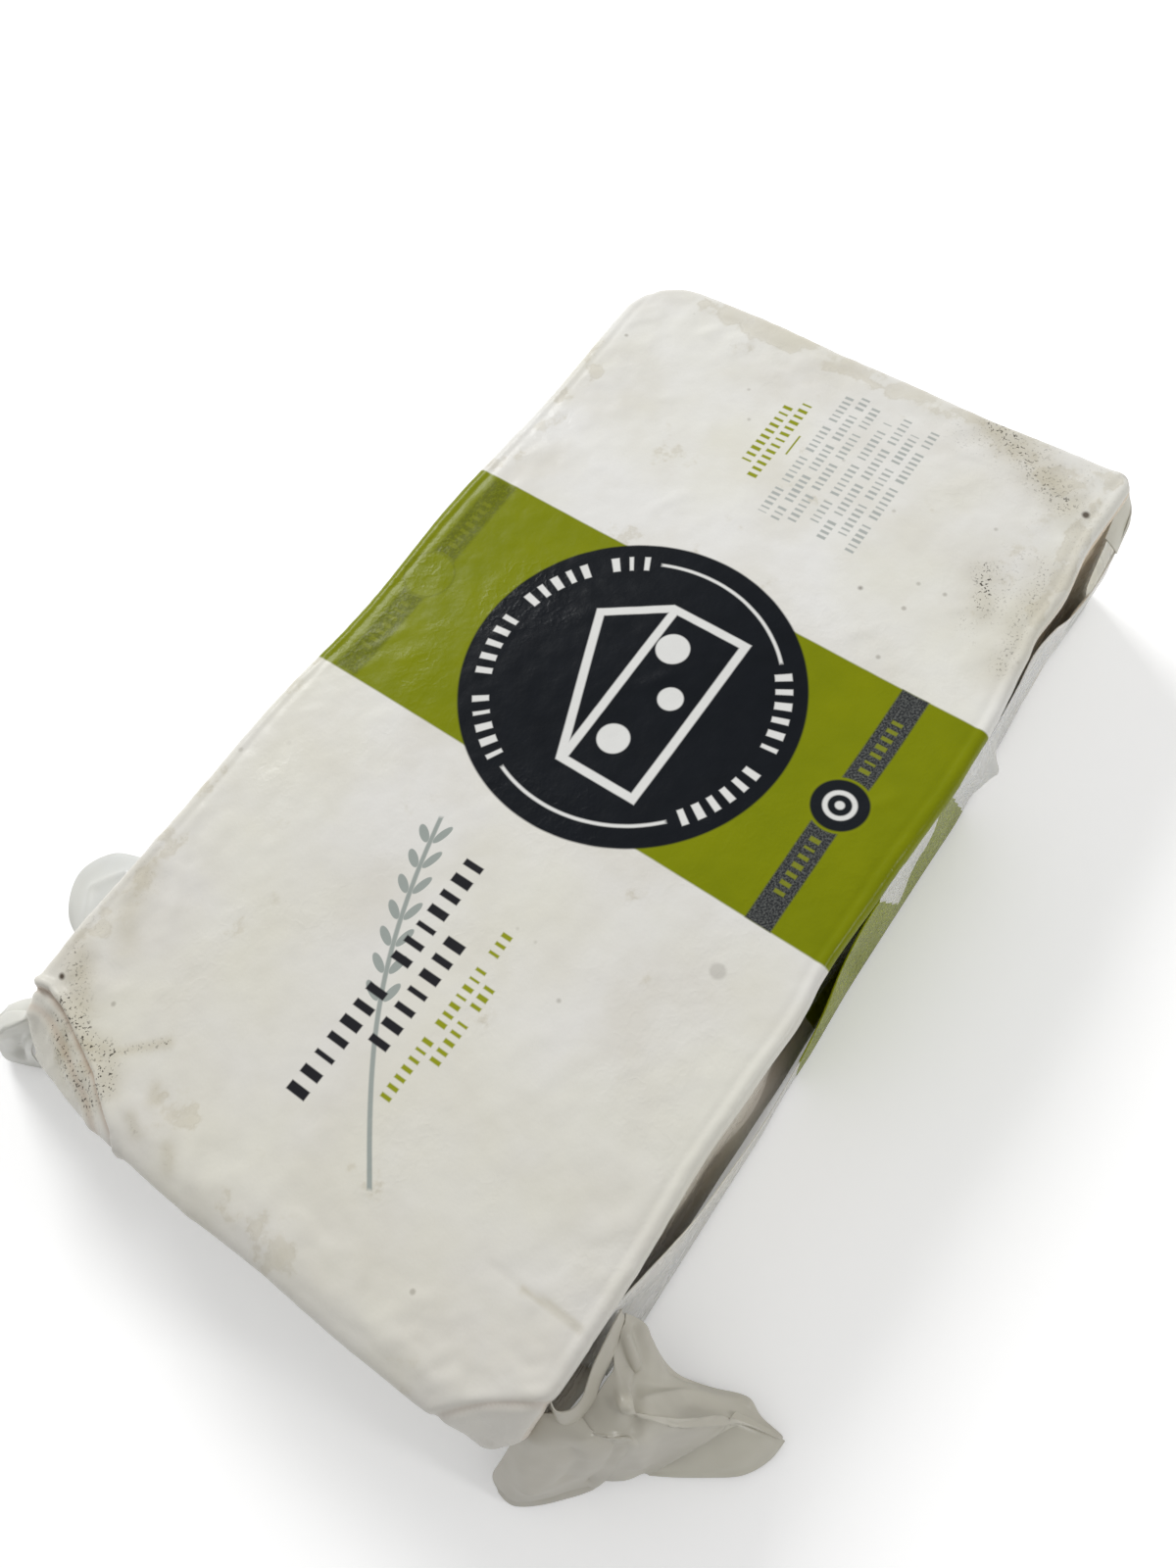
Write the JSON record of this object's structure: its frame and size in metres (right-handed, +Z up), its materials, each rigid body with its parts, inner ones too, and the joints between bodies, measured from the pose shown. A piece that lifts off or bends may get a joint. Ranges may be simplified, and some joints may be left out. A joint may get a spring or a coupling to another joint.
{
  "type": "vacuum-packed cheddar block",
  "caption": "Long flat block of cheese sealed in tight opaque film, with dog-ear corners, a loose side pleat and folded end seams.",
  "frame": {"origin": "centre of the block's flat base, on the surface it rests on", "axes": "+Z up, +X along the length towards the far end, -Y towards the long side with the loose pleat"},
  "size_m": [0.3754, 0.2862, 0.068],
  "materials": {
    "film": "satin opaque white film with a printed green band, tight over the cheese, with fine wrinkles"
  },
  "bodies": {
    "root": {"cheddar_pack": "film"}
  },
  "joints": []
}
